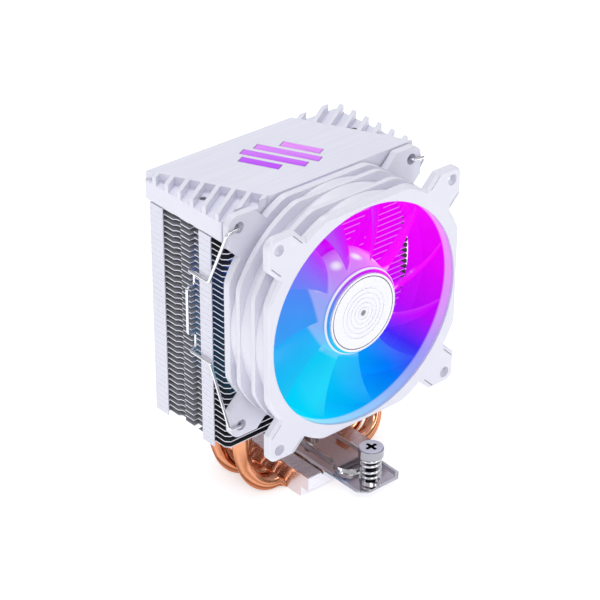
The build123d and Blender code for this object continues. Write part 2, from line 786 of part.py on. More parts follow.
with BuildPart() as fan_front_flange:
    with BuildSketch(fan_plane(0)):
        add(flange_outline.sketch)
    extrude(amount=flange_t)
    chamfer(fan_front_flange.faces().sort_by(Axis.Y)[0].edges(), length=flange_bevel)
    cut_duct()
    cut_fan_holes()
    # fine panel lines round the ears
    with BuildSketch(fan_plane(0)):
        for quadrant in range(4):
            turn = 45 + 90 * quadrant
            line_r, line_offset, line_length = panel_side_line
            with PolarLocations(line_r, 1, start_angle=turn):
                with Locations((0, line_offset), (0, -line_offset)):
                    Rectangle(line_length, panel_line_w)
            centre_r, arc_r, half_angle = panel_arc
            with PolarLocations(centre_r, 1, start_angle=turn):
                SlotArc(CenterArc((0, 0), arc_r, -half_angle, 2 * half_angle), panel_line_w)
    extrude(amount=panel_line_depth, mode=Mode.SUBTRACT)
save(fan_front_flange, "fan_front_flange")

with BuildPart() as fan_duct:
    with BuildSketch(fan_plane(flange_t)):
        Circle(mouth_r + duct_wall)
    extrude(amount=rear_flange_front - flange_t)
    for ridge in ridge_places:
        with BuildSketch(fan_plane(ridge)):
            add(ring_outline.sketch)
        extrude(amount=ridge_t)
    cut_duct()
save(fan_duct, "fan_duct")

with BuildPart() as fan_rear_frame:
    with BuildSketch(fan_plane(rear_flange_front)):
        add(flange_outline.sketch)
    extrude(amount=flange_t)
    cut_duct()
    cut_fan_holes()
    # motor base on its struts
    with BuildSketch(fan_plane(motor_base_front)):
        with PolarLocations((motor_base_r + mouth_r) / 2, strut_count, start_angle=45):
            Rectangle(mouth_r - motor_base_r + 2 * strut_root, strut_w)
    extrude(amount=strut_t - strut_setback)
    with BuildSketch(fan_plane(motor_base_front)):
        Circle(motor_base_r)
    extrude(amount=motor_base_t)
    # bearing tube, open at the rear for the shaft's clip
    with BuildSketch(fan_plane(tube_front)):
        Circle(sleeve_r + tube_wall)
    extrude(amount=sleeve_length)
    with BuildSketch(fan_plane(tube_front)):
        Circle(sleeve_r + sleeve_fit)
    extrude(amount=sleeve_length + strut_t, mode=Mode.SUBTRACT)
    # exit notch for the cord
    with BuildSketch(fan_plane(rear_flange_front)):
        with Locations((fan_size / 2 - cord_notch_in, fan_size / 2)):
            Rectangle(*cord_notch)
    extrude(amount=flange_t, mode=Mode.SUBTRACT)
save(fan_rear_frame, "fan_rear_frame")

with BuildPart() as duct_light_ring:
    with BuildSketch(fan_plane(light_ring_ends[0] + light_ring_slip)):
        Circle(duct_r - light_ring_slip)
        Circle(mouth_r, mode=Mode.SUBTRACT)
    extrude(amount=light_ring_ends[1] - light_ring_ends[0] - 2 * light_ring_slip)
save(duct_light_ring, "duct_light_ring")

# ---------------------------------------------------------------- fan motor, fixed side

board_front = motor_base_front - board_t
yoke_front = hub_front + hub_front_t
yoke_r = hub_front_r - hub_wall - yoke_in
magnet_r = yoke_r - yoke_wall
rotor_bore_r = magnet_r - magnet_wall
stator_r = rotor_bore_r - air_gap
stator_front = yoke_front + yoke_wall + stator_gap

with BuildPart() as motor_board:
    with BuildSketch(fan_plane(board_front)):
        Circle(board_r)
        Circle(sleeve_r + tube_wall + screw_slip, mode=Mode.SUBTRACT)
    extrude(amount=board_t)
save(motor_board, "motor_board")

with BuildPart() as fan_leds:
    with BuildSketch(fan_plane(board_front - led_h)):
        with PolarLocations(board_r - fan_led_in, fan_led_count):
            Rectangle(led_size, 2 * led_size)
    extrude(amount=led_h)
save(fan_leds, "fan_leds")

with BuildPart() as bearing_sleeve:
    with BuildSketch(fan_plane(tube_front)):
        Circle(sleeve_r)
        Circle(shaft_r + shaft_running, mode=Mode.SUBTRACT)
    extrude(amount=sleeve_length)
save(bearing_sleeve, "bearing_sleeve")

core_bore = sleeve_r + tube_wall + screw_slip
core_hub_r = core_bore + stator_ring_t
core_ring_r = stator_r - stator_ring_t
coil_half_w = stator_arm_w / 2 + coil_slip + coil_turn_w
coil_inner = core_hub_r + coil_gap
coil_outer = math.sqrt((core_ring_r - coil_gap) ** 2 - coil_half_w ** 2)

with BuildPart() as stator_core:
    with BuildSketch(fan_plane(stator_front)):
        Circle(stator_r)
        Circle(core_ring_r, mode=Mode.SUBTRACT)
        with PolarLocations(stator_r, stator_poles, start_angle=45):
            Rectangle(2 * stator_slot[0], stator_slot[1], mode=Mode.SUBTRACT)
        with PolarLocations((core_bore + stator_r) / 2, stator_poles):
            Rectangle(stator_r - core_bore - stator_ring_t, stator_arm_w)
        Circle(core_hub_r)
        Circle(core_bore, mode=Mode.SUBTRACT)
    extrude(amount=stator_length)
save(stator_core, "stator_core")

with BuildPart() as stator_coils:
    with BuildSketch(fan_plane(stator_front - coil_overhang)):
        with PolarLocations((coil_inner + coil_outer) / 2, stator_poles):
            Rectangle(coil_outer - coil_inner, 2 * coil_half_w)
    extrude(amount=stator_length + 2 * coil_overhang)
    with BuildSketch(fan_plane(stator_front - coil_slip)):
        with PolarLocations((coil_inner + coil_outer) / 2, stator_poles):
            Rectangle(2 * (coil_outer - coil_inner), stator_arm_w + 2 * coil_slip)
    extrude(amount=stator_length + 2 * coil_slip, mode=Mode.SUBTRACT)
save(stator_coils, "stator_coils")

with BuildPart() as bearing_cap:
    with BuildSketch(fan_plane(motor_base_front + motor_base_t - bearing_cap_t)):
        Circle(sleeve_r)
    extrude(amount=bearing_cap_t)
save(bearing_cap, "bearing_cap")

# ---------------------------------------------------------------- rotor


blade_tip_r = mouth_r - blade_tip_gap


def blade_section(radius):
    """Closed outline of the blade on a plane square to its radius, X across, Y rearwards.

    The fan turns against the clock seen from its front, so the leading edge is the front
    left one on a blade that points up, and the hollow side faces the rear.
    """
    share = min(max((radius - hub_front_r) / (blade_tip_r - hub_front_r), 0.0), 1.0)
    pitch = math.radians(blade_root_angle + share * (blade_tip_angle - blade_root_angle))
    lead = math.radians(blade_sweep) * share ** blade_sweep_power
    depth = blade_rear - blade_front
    run = depth / math.tan(pitch)
    middle_x = -radius * math.sin(lead)
    middle_y = fan_front_y + (blade_front + blade_rear) / 2
    nx, ny = math.sin(pitch), -math.cos(pitch)
    camber = blade_camber * math.hypot(run, depth)

    def point(along, out):
        return (middle_x + along * run + out * nx, middle_y + along * depth + out * ny)

    hollow = (point(-0.5, 0), point(0, camber - blade_t / 2), point(0.5, 0))
    full = (point(0.5, blade_edge_t), point(0, camber + blade_t / 2), point(-0.5, blade_edge_t))
    return hollow, full


with BuildPart() as blade:
    for radius in (hub_front_r - 1.0, (hub_front_r + blade_tip_r) / 2, blade_tip_r + 3.0):
        hollow, full = blade_section(radius)
        with BuildSketch(Plane.XY.offset(fan_axis_z + radius)):
            with BuildLine():
                ThreePointArc(*hollow)
                Line(hollow[2], full[0])
                ThreePointArc(*full)
                Line(full[2], hollow[0])
            make_face()
    loft()

with BuildPart() as impeller:
    with BuildSketch(fan_section()):
        with BuildLine():
            Polyline(
                (0, hub_front),
                (hub_front_r - hub_edge, hub_front),
                (hub_front_r, hub_front + hub_edge),
                (hub_rear_r, hub_rear),
                (hub_rear_r - hub_wall, hub_rear),
                (hub_front_r - hub_wall, yoke_front),
                (0, yoke_front),
                close=True,
            )
        make_face()
    revolve(axis=fan_axis)
    for i in range(blade_count):
        add(blade.part.rotate(fan_axis, i * 360 / blade_count))
    # trim the tips to the running circle and clear the inside of the cup
    with BuildSketch(fan_plane(0)):
        Circle(2 * mouth_r)
        Circle(blade_tip_r, mode=Mode.SUBTRACT)
    extrude(amount=fan_depth, mode=Mode.SUBTRACT)
    with BuildSketch(fan_section()):
        with BuildLine():
            Polyline(
                (0, yoke_front),
                (hub_front_r - hub_wall, yoke_front),
                (hub_rear_r - hub_wall, hub_rear),
                (hub_rear_r - hub_wall, fan_depth),
                (0, fan_depth),
                close=True,
            )
        make_face()
    revolve(axis=fan_axis, mode=Mode.SUBTRACT)
save(impeller, "impeller")

cap_r = hub_front_r - cap_in
cap_front = hub_front - cap_t

with BuildPart() as hub_cap:
    with BuildSketch(fan_plane(cap_front)):
        Circle(cap_r)
    extrude(amount=cap_t)
    with BuildSketch(fan_section()):
        for i in range(cap_ring_count):
            with Locations((cap_ring_first_r + i * cap_ring_pitch, cap_front)):
                Rectangle(cap_ring_w, 2 * cap_ring_depth)
        with Locations((cap_r - cap_rim_groove[0], cap_front)):
            Rectangle(cap_rim_groove[1], 2 * cap_rim_groove[2])
    revolve(axis=fan_axis, mode=Mode.SUBTRACT)
save(hub_cap, "hub_cap")

with BuildPart() as rotor_yoke:
    with BuildSketch(fan_section()):
        with BuildLine():
            Polyline(
                (shaft_r, yoke_front),
                (yoke_r, yoke_front),
                (yoke_r, yoke_front + yoke_length),
                (yoke_r - yoke_wall, yoke_front + yoke_length),
                (yoke_r - yoke_wall, yoke_front + yoke_wall),
                (shaft_r, yoke_front + yoke_wall),
                close=True,
            )
        make_face()
    revolve(axis=fan_axis)
save(rotor_yoke, "rotor_yoke")

with BuildPart() as magnet_ring:
    with BuildSketch(fan_plane(yoke_front + yoke_wall + magnet_ends[0])):
        Circle(magnet_r)
        Circle(rotor_bore_r, mode=Mode.SUBTRACT)
    extrude(amount=yoke_length - yoke_wall - sum(magnet_ends))
save(magnet_ring, "magnet_ring")

shaft_rear = motor_base_front + shaft_overrun
clip_front = motor_base_front + shaft_clip_gap

with BuildPart() as rotor_shaft:
    with BuildSketch(fan_plane(yoke_front)):
        Circle(shaft_r)
    extrude(amount=shaft_rear - yoke_front)
    with BuildSketch(fan_plane(clip_front)):
        Circle(shaft_r)
        Circle(shaft_r - shaft_groove, mode=Mode.SUBTRACT)
    extrude(amount=shaft_clip_t, mode=Mode.SUBTRACT)
save(rotor_shaft, "rotor_shaft")

with BuildPart() as shaft_clip:
    with BuildSketch(fan_plane(clip_front)):
        Circle(shaft_clip_r)
        Circle(shaft_r - shaft_groove, mode=Mode.SUBTRACT)
        with Locations((shaft_clip_r, 0)):
            Rectangle(shaft_clip_r, 2 * shaft_groove, mode=Mode.SUBTRACT)
    extrude(amount=shaft_clip_t)
save(shaft_clip, "shaft_clip")

# ---------------------------------------------------------------- wire clips

wire_y = fan_front_y + rear_flange_front - wire_d / 2 - clip_lift
clip_side_x = max(cover_half_width, fan_size / 2) + clip_side_gap
clip_hook_x = fin_width / 2 - clip_hook_in
clip_hook_y = sum(clip_groove) / 2


def clip_half():
    """Corners of the upper half of a clip on the +X side, from the fan hole inwards."""
    flange_face_y = fan_front_y + rear_flange_front
    return [
        (fan_hole_half, flange_face_y + clip_end_depth, fan_hole_half),
        (fan_hole_half, wire_y, fan_hole_half),
        (clip_side_x, wire_y, fan_hole_half - clip_leave),
        (clip_side_x, tab_front[0], clip_knee_z),
        (clip_side_x, clip_hook_y, clip_knee_z),
        (clip_hook_x, clip_hook_y, clip_knee_z - clip_slant),
        (clip_hook_x, clip_hook_y, clip_finger_half),
        (clip_side_x + clip_finger_out, clip_hook_y, clip_finger_half - clip_slant),
    ]


for side, name in ((-1, "left"), (1, "right")):
    upper = [(side * x, y, fan_axis_z + z) for x, y, z in clip_half()]
    lower = [(side * x, y, fan_axis_z - z) for x, y, z in reversed(clip_half())]
    corners = upper + lower
    with BuildPart() as wire_clip:
        with BuildLine() as clip_route:
            FilletPolyline(*corners, radius=clip_bend_r)
        with BuildSketch(Plane(origin=corners[0], z_dir=(0, -1, 0))):
            Circle(wire_d / 2)
        sweep(path=clip_route.wires()[0])
    save(wire_clip, f"wire_clip_{name}")
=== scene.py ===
import math

import bmesh
import bpy
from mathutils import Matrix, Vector


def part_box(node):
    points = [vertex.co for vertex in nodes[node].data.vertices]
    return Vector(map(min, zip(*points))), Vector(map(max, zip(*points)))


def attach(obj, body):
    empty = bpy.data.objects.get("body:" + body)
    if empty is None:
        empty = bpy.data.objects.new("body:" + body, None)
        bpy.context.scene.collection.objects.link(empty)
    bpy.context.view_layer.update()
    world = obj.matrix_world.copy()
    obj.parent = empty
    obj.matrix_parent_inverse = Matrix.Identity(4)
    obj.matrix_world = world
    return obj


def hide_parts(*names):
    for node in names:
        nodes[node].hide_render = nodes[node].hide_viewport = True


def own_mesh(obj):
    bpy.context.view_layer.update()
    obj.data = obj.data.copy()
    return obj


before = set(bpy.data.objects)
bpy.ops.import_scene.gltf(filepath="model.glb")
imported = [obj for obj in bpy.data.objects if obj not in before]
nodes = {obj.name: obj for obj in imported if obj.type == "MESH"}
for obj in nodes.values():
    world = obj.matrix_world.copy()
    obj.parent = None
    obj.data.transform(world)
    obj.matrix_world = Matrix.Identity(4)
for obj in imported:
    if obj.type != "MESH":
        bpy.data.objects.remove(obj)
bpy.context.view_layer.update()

MM = 0.001

# ------------------------------------------------------------------ places from the frame

ring_low, ring_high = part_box("duct_light_ring")
hub_low, hub_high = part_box("hub_cap")
fins_low, fins_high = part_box("fin_stack")
lens_low, lens_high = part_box("cover_lens")
FAN_X = (ring_low.x + ring_high.x) / 2
FAN_Z = (ring_low.z + ring_high.z) / 2
FAN_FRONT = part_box("fan_front_flange")[0].y
RING_WALL = 0.9 * MM           # of the light ring, which lies flush in the duct
CAP_RIM = 1.6 * MM             # width of the impeller's rim round its cap
DUCT_R = (ring_high.x - ring_low.x) / 2 - RING_WALL
HUB_R = (hub_high.x - hub_low.x) / 2 + CAP_RIM

# ------------------------------------------------------------------ camera

CAMERA_PLACE = (-0.47161, -0.54748, 0.49098)
CAMERA_TURN = (59.7598, -0.2004, -40.6732)       # degrees about x, y and z
FOCAL_LENGTH = 133.27

camera_data = bpy.data.cameras.new("camera")
camera_data.sensor_width = 36.0
camera_data.lens = FOCAL_LENGTH
camera_data.clip_start = 0.01
camera_data.clip_end = 50.0
camera = bpy.data.objects.new("camera", camera_data)
camera.location = CAMERA_PLACE
camera.rotation_euler = [math.radians(angle) for angle in CAMERA_TURN]
bpy.context.scene.collection.objects.link(camera)
bpy.context.scene.camera = camera
bpy.context.scene.view_settings.view_transform = "Standard"

# ------------------------------------------------------------------ node helpers


class Tree:
    """A small builder for one material's nodes."""

    def __init__(self, name, fixed_to=None):
        self.material = bpy.data.materials.new(name)
        self.material.use_nodes = True
        self.tree = self.material.node_tree
        self.tree.nodes.clear()
        self.output = self.node("ShaderNodeOutputMaterial")
        self.shader = self.node("ShaderNodeBsdfPrincipled")
        self.join(self.shader.outputs[0], self.output.inputs["Surface"])
        coords = self.node("ShaderNodeTexCoord")
        coords.object = fixed_to
        self.coords = coords.outputs["Object"]
        self.under = None

    def node(self, kind, **settings):
        made = self.tree.nodes.new(kind)
        for key, value in settings.items():
            setattr(made, key, value)
        return made

    def join(self, source, socket):
        self.tree.links.new(source, socket)

    def feed(self, socket, value):
        """Link a socket, or set a plain value on it."""
        if isinstance(value, bpy.types.NodeSocket):
            self.join(value, socket)
        else:
            socket.default_value = value

    def math(self, operation, a, b=0.0, c=0.0, clamp=False):
        made = self.node("ShaderNodeMath", operation=operation, use_clamp=clamp)
        for socket, value in zip(made.inputs, (a, b, c)):
            self.feed(socket, value)
        return made.outputs[0]

    def ramp(self, fac, stops):
        made = self.node("ShaderNodeValToRGB")
        band = made.color_ramp
        while len(band.elements) < len(stops):
            band.elements.new(0.5)
        for element, (place, colour) in zip(band.elements, stops):
            element.position = place
            element.color = (*colour, 1.0)
        self.join(fac, made.inputs[0])
        return made.outputs[0]

    def span(self, value, low, high, to_low=0.0, to_high=1.0):
        """Smooth step of a value between two limits."""
        made = self.node("ShaderNodeMapRange", interpolation_type="SMOOTHSTEP")
        for socket, number in zip(made.inputs, (value, low, high, to_low, to_high)):
            self.feed(socket, number)
        return made.outputs[0]

    def mix(self, fac, a, b, blend="MIX"):
        made = self.node("ShaderNodeMix", data_type="RGBA", blend_type=blend)
        self.feed(made.inputs["Factor"], fac)
        self.feed(made.inputs[6], a if isinstance(a, bpy.types.NodeSocket) else (*a, 1.0))
        self.feed(made.inputs[7], b if isinstance(b, bpy.types.NodeSocket) else (*b, 1.0))
        return made.outputs[2]

    def stretched(self, scale):
        made = self.node("ShaderNodeMapping")
        made.inputs["Scale"].default_value = scale
        self.join(self.coords, made.inputs["Vector"])
        return made.outputs[0]

    def noise(self, scale, detail=3.0, vector=None):
        made = self.node("ShaderNodeTexNoise")
        self.join(vector or self.coords, made.inputs["Vector"])
        made.inputs["Scale"].default_value = scale
        made.inputs["Detail"].default_value = detail
        return made.outputs["Fac"]

    def round_edges(self, radius):
        """Small rounding of every hard edge, in the shading."""
        made = self.node("ShaderNodeBevel", samples=6)
        made.inputs["Radius"].default_value = radius
        self.under = made.outputs[0]
        self.join(self.under, self.shader.inputs["Normal"])

    def bump(self, height, strength, distance):
        made = self.node("ShaderNodeBump")
        made.inputs["Strength"].default_value = strength
        made.inputs["Distance"].default_value = distance
        self.join(height, made.inputs["Height"])
        if self.under is not None:
            self.join(self.under, made.inputs["Normal"])
        self.under = made.outputs[0]
        self.join(self.under, self.shader.inputs["Normal"])

    def parts(self, vector):
        made = self.node("ShaderNodeSeparateXYZ")
        self.join(vector, made.inputs[0])
        return made.outputs

    def distance(self, along, centre_along, other, centre_other):
        """Distance from a line parallel to an axis, from the two other coordinates."""
        da = self.math("SUBTRACT", along, centre_along)
        db = self.math("SUBTRACT", other, centre_other)
        return self.math("SQRT", self.math("MULTIPLY_ADD", da, da, self.math("MULTIPLY", db, db)))

    def set(self, **values):
        for key, value in values.items():
            self.shader.inputs[key.replace("_", " ")].default_value = value


def linear(r, g, b):
    """Linear colour from display values of 0 to 255."""
    def one(value):
        value /= 255.0
        return value / 12.92 if value <= 0.04045 else ((value + 0.055) / 1.055) ** 2.4
    return (one(r), one(g), one(b))


def surface(name, colour, rough, metallic=0.0, mottle=0.03, mottle_scale=60.0, grain_scale=4000.0,
            grain=0.05, grain_depth=0.02 * MM, stretch=None, rough_spread=0.05, edge=0.0):
    """Moulded, cast or brushed: a slight mottle, uneven gloss, fine grain and broken edges."""
    t = Tree(name)
    if edge:
        t.round_edges(edge)
    low = tuple(c * (1 - mottle) for c in colour)
    high = tuple(min(1.0, c * (1 + mottle)) for c in colour)
    t.colour = t.ramp(t.noise(mottle_scale, 2.0), [(0.3, low), (0.7, high)])
    t.join(t.colour, t.shader.inputs["Base Color"])
    t.fine = t.noise(grain_scale, 4.0, t.stretched(stretch) if stretch else None)
    spread = t.span(t.fine, 0.3, 0.7, rough - rough_spread, rough + rough_spread)
    t.join(spread, t.shader.inputs["Roughness"])
    t.set(Metallic=metallic)
    t.bump(t.fine, grain, grain_depth)
    return t


def recolour(t, colour):
    t.colour = colour
    t.join(colour, t.shader.inputs["Base Color"])


# ------------------------------------------------------------------ the light in the fan

# Colours round the fan, counted against the clock from its lower left, seen from the front.
GLOW_START = math.radians(240.0)
GLOW = [
    (0.000, linear(1, 215, 252)),
    (0.083, linear(0, 180, 252)),
    (0.167, linear(0, 120, 250)),
    (0.215, linear(70, 40, 250)),
    (0.260, linear(190, 6, 251)),
    (0.333, linear(233, 0, 252)),
    (0.417, linear(240, 0, 251)),
    (0.500, linear(236, 5, 251)),
    (0.583, linear(208, 0, 249)),
    (0.667, linear(172, 70, 250)),
    (0.750, linear(84, 140, 250)),
    (0.833, linear(44, 160, 250)),
    (0.917, linear(0, 196, 251)),
    (1.000, linear(1, 215, 252)),
]


def glow_colour(t, x, z):
    """Colour of the fan's light at a point, by its angle round the fan."""
    dx = t.math("SUBTRACT", x, FAN_X)
    dz = t.math("SUBTRACT", z, FAN_Z)
    angle = t.math("ARCTAN2", dz, dx)
    share = t.math("MULTIPLY_ADD", angle, 1 / math.tau, 1 - GLOW_START / math.tau)
    return t.ramp(t.math("FRACT", share), GLOW)


def lit_by_fan(t, colour, where, strength, own=0.06):
    """Paint a glow of a colour onto a surface where a mask says so, standing in for the fan's
    light.
    """
    t.join(t.mix(where, (0.0, 0.0, 0.0), colour), t.shader.inputs["Emission Color"])
    t.set(Emission_Strength=strength)
    dark = t.mix(1.0, colour, (own, own, own), "MULTIPLY")
    recolour(t, t.mix(where, t.colour, dark))


LAMP_COUNT = 12
LAMP_PHASE = 0.93              # share of a step by which the lamps are turned
LAMP_WIDTH = 10.0 * MM         # about one step round the hub
LAMP_DEPTH = 10.6 * MM         # behind the fan's front


def rotor_look():
    """Milky hub, paler than the blades, with soft spots of the lamps behind it."""
    t = Tree("rotor_glow", fixed_to=nodes["fan_duct"])
    t.round_edges(0.3 * MM)
    x, y, z = t.parts(t.coords)
    radius = t.distance(x, FAN_X, z, FAN_Z)
    colour = glow_colour(t, x, z)
    behind_cap = t.span(y, FAN_FRONT + 3.4 * MM, FAN_FRONT + 4.4 * MM)
    on_hub = t.math("MULTIPLY", t.span(radius, HUB_R + 3.4 * MM, HUB_R + 1.6 * MM), behind_cap)
    height = t.span(z, FAN_Z - 18 * MM, FAN_Z + 6 * MM, 0.10, 0.34)
    pale = t.mix(t.math("MULTIPLY", on_hub, height), colour, (0.86, 0.72, 1.0))
    # lamps stand round the hub, each a soft spot
    turns = t.math("ARCTAN2", t.math("SUBTRACT", z, FAN_Z), t.math("SUBTRACT", x, FAN_X))
    phase = t.math("FRACT", t.math("MULTIPLY_ADD", turns, LAMP_COUNT / math.tau,
                                   LAMP_COUNT + LAMP_PHASE))
    across = t.math("MULTIPLY", t.math("SUBTRACT", phase, 0.5), LAMP_WIDTH)
    deep = t.math("SUBTRACT", y, FAN_FRONT + LAMP_DEPTH)
    spot = t.math("SQRT", t.math("MULTIPLY_ADD", across, across, t.math("MULTIPLY", deep, deep)))
    bright = t.math("MULTIPLY", t.span(spot, 3.2 * MM, 0.4 * MM), on_hub)
    pale = t.mix(t.math("MULTIPLY", bright, 0.80), pale, (0.95, 0.95, 1.0))
    # the hub's front rim is white
    rim = t.math("MULTIPLY", t.span(y, FAN_FRONT + 3.7 * MM, FAN_FRONT + 3.3 * MM),
                 t.span(radius, HUB_R - 0.6 * MM, HUB_R - 0.4 * MM))
    pale = t.mix(rim, pale, (0.86, 0.86, 0.95))
    cloud = t.ramp(t.noise(70.0, 2.0), [(0.3, (0.93, 0.93, 0.93)), (0.7, (1.0, 1.0, 1.0))])
    lit = t.mix(1.0, pale, cloud, "MULTIPLY")
    t.join(lit, t.shader.inputs["Emission Color"])
    t.join(t.mix(1.0, lit, (0.03, 0.03, 0.03), "MULTIPLY"), t.shader.inputs["Base Color"])
    fine = t.noise(3000.0, 3.0)
    t.join(t.span(fine, 0.3, 0.7, 0.26, 0.36), t.shader.inputs["Roughness"])
    t.bump(fine, 0.03, 0.01 * MM)
    t.set(Emission_Strength=0.96, Specular_IOR_Level=0.16)
    return t


def light_ring_look():
    """Frosted light guide: pale at the mouth, full colour deeper in."""
    t = Tree("ring_glow")
    x, y, z = t.parts(t.coords)
    colour = glow_colour(t, x, z)
    depth = t.span(y, FAN_FRONT + 4.2 * MM, FAN_FRONT + 5.4 * MM)
    lit = t.mix(depth, t.mix(0.34, colour, (1.0, 1.0, 1.0)), colour)
    cloud = t.ramp(t.noise(120.0, 2.0), [(0.3, (0.94, 0.94, 0.94)), (0.7, (1.0, 1.0, 1.0))])
    lit = t.mix(1.0, lit, cloud, "MULTIPLY")
    t.join(lit, t.shader.inputs["Emission Color"])
    t.join(t.mix(1.0, lit, (0.10, 0.10, 0.10), "MULTIPLY"), t.shader.inputs["Base Color"])
    fine = t.noise(3500.0, 3.0)
    t.join(t.span(fine, 0.3, 0.7, 0.35, 0.5), t.shader.inputs["Roughness"])
    t.bump(fine, 0.05, 0.01 * MM)
    t.set(Emission_Strength=0.88, Specular_IOR_Level=0.3)
    return t


# ------------------------------------------------------------------ materials

WHITE = (0.745, 0.745, 0.835)


def fan_white_look():
    """White plastic of the fan's frame, coloured by the light inside the duct."""
    t = surface("frame_white", WHITE, 0.36, mottle=0.012, grain_scale=2600.0, grain=0.06,
                edge=0.35 * MM)
    x, y, z = t.parts(t.coords)
    radius = t.distance(x, FAN_X, z, FAN_Z)
    # painted glow of the fan's light on the duct wall behind the mouth
    inside = t.math("MULTIPLY", t.span(radius, DUCT_R + 0.6 * MM, DUCT_R + 0.2 * MM),
                    t.span(y, FAN_FRONT + 1.4 * MM, FAN_FRONT + 2.4 * MM))
    # the floor of the shallow panel lines holds a little shade
    normal = t.parts(t.node("ShaderNodeNewGeometry").outputs["Normal"])
    line = t.math("MULTIPLY", t.span(y, FAN_FRONT + 0.15 * MM, FAN_FRONT + 0.28 * MM),
                  t.span(normal[1], -0.8, -0.95))
    line = t.math("MULTIPLY", line, t.span(y, FAN_FRONT + 0.9 * MM, FAN_FRONT + 0.7 * MM))
    line = t.math("MULTIPLY", line, t.span(radius, DUCT_R + 0.6 * MM, DUCT_R + 0.9 * MM))
    recolour(t, t.mix(line, t.colour, (0.36, 0.36, 0.42)))
    lit_by_fan(t, glow_colour(t, x, z), inside, 0.9)
    return t


FIN_GLOW_DEPTH = 26.0 * MM     # how far the fan's light reaches between the fins
FIN_GLOW_SIDE = 3.2 * MM       # and how far inside their edges it stops


def fin_look():
    """White-coated edges and tabs, with the deep shade that the narrow gaps hold."""
    t = surface("fin_white", (0.72, 0.72, 0.82), 0.36, mottle=0.02, grain_scale=2500.0,
                stretch=(1.0, 1.0, 0.05), grain=0.08)
    x, y, z = t.parts(t.coords)
    normal = t.parts(t.node("ShaderNodeNewGeometry").outputs["Normal"])
    # painted shade on the flat fin faces, darkest near the front, kept off the lowest fin's
    # underside and the top
    flat = t.span(t.math("ABSOLUTE", normal[2]), 0.7, 0.9)
    under = t.math("MULTIPLY", t.span(normal[2], -0.7, -0.9),
                   t.span(z, fins_low.z + 4.0 * MM, fins_low.z + 3.0 * MM))
    top = t.span(z, fins_high.z - 0.2 * MM, fins_high.z - 0.1 * MM)
    shade = t.math("MULTIPLY", flat, t.math("SUBTRACT", 1.0, t.math("MAXIMUM", under, top)))
    front = fins_low.y
    painted_light_tone = t.ramp(t.span(y, front + 5.0 * MM, front + 16.0 * MM),
                  [(0.0, (0.045, 0.045, 0.052)), (1.0, (0.36, 0.36, 0.39))])
    recolour(t, t.mix(shade, t.colour, painted_light_tone))
    # painted glow of the fan's light on the fins behind the duct, with a paler pink painted
    # highlight on their edges
    radius = t.distance(x, FAN_X, z, FAN_Z)
    inside = t.math("MULTIPLY", t.span(radius, DUCT_R + 5.0 * MM, DUCT_R + 3.0 * MM),
                    t.span(y, front + FIN_GLOW_DEPTH, front + 2.0 * MM))
    inside = t.math("MULTIPLY", inside,
                    t.span(t.math("ABSOLUTE", x), fins_high.x - FIN_GLOW_SIDE,
                           fins_high.x - FIN_GLOW_SIDE - 1.0 * MM))
    colour = glow_colour(t, x, z)
    edge_light = t.math("MULTIPLY", t.math("SUBTRACT", 1.0, flat), 0.30)
    lit_by_fan(t, t.mix(edge_light, colour, (1.0, 0.6, 1.0)), inside, 0.85)
    return t


def cover_look():
    """White top cover with a fine brushed grain along its length."""
    t = surface("cover_white", (0.765, 0.765, 0.865), 0.36, mottle=0.01, rough_spread=0.06,
                stretch=(0.02, 1.0, 1.0), grain_scale=2200.0, grain=0.10, grain_depth=0.03 * MM,
                edge=0.3 * MM)
    streak = t.noise(900.0, 3.0, t.stretched((0.03, 1.0, 0.2)))
    lines = t.ramp(streak, [(0.35, (0.95, 0.95, 0.96)), (0.65, (1.0, 1.0, 1.0))])
    normal = t.parts(t.node("ShaderNodeNewGeometry").outputs["Normal"])
    deck = t.span(normal[2], 0.85, 0.97)
    recolour(t, t.mix(deck, t.colour, t.mix(1.0, t.colour, lines, "MULTIPLY")))
    return t


def lens_look():
    """Lit inlay, violet on the left and pink on the right."""
    t = surface("lens_glow", (0.06, 0.02, 0.08), 0.22, mottle=0.05, grain=0.02)
    x, y, z = t.parts(t.coords)
    along = t.math("ADD", t.math("MULTIPLY", x, 0.8), t.math("MULTIPLY", y, 0.6))
    middle = 0.6 * (lens_low.y + lens_high.y) / 2
    made = t.node("ShaderNodeMapRange")
    for socket, number in zip(made.inputs, (along, middle - 15 * MM, middle + 13 * MM, 0.0, 1.0)):
        t.feed(socket, number)
    colour = t.ramp(made.outputs[0], [
        (0.0, linear(172, 20, 252)),
        (0.35, linear(196, 84, 252)),
        (0.7, linear(220, 136, 254)),
        (1.0, linear(240, 152, 255)),
    ])
    t.join(colour, t.shader.inputs["Emission Color"])
    t.set(Emission_Strength=0.9)
    return t


def copper_look():
    """Polished copper with faint drawing lines, and painted reflections banded from dark below to
    bright above.
    """
    t = surface("pipe_copper", (0.88, 0.43, 0.25), 0.13, 1.0, mottle=0.10, mottle_scale=140.0,
                grain_scale=1500.0, grain=0.02, rough_spread=0.04)
    t.set(Specular_Tint=(1.0, 0.80, 0.66, 1.0))
    # painted reflection: dark and bright bands by slope, as a round polished pipe shows
    normal = t.parts(t.node("ShaderNodeNewGeometry").outputs["Normal"])
    shade = t.ramp(t.span(normal[2], -1.0, 1.0), [
        (0.0, (0.40, 0.26, 0.19)), (0.22, (0.62, 0.46, 0.38)), (0.36, (0.28, 0.17, 0.12)),
        (0.50, (0.95, 0.88, 0.84)), (0.64, (0.55, 0.40, 0.32)), (0.80, (1.0, 0.96, 0.94)),
        (1.0, (1.0, 1.0, 1.0))])
    recolour(t, t.mix(1.0, t.colour, shade, "MULTIPLY"))
    return t


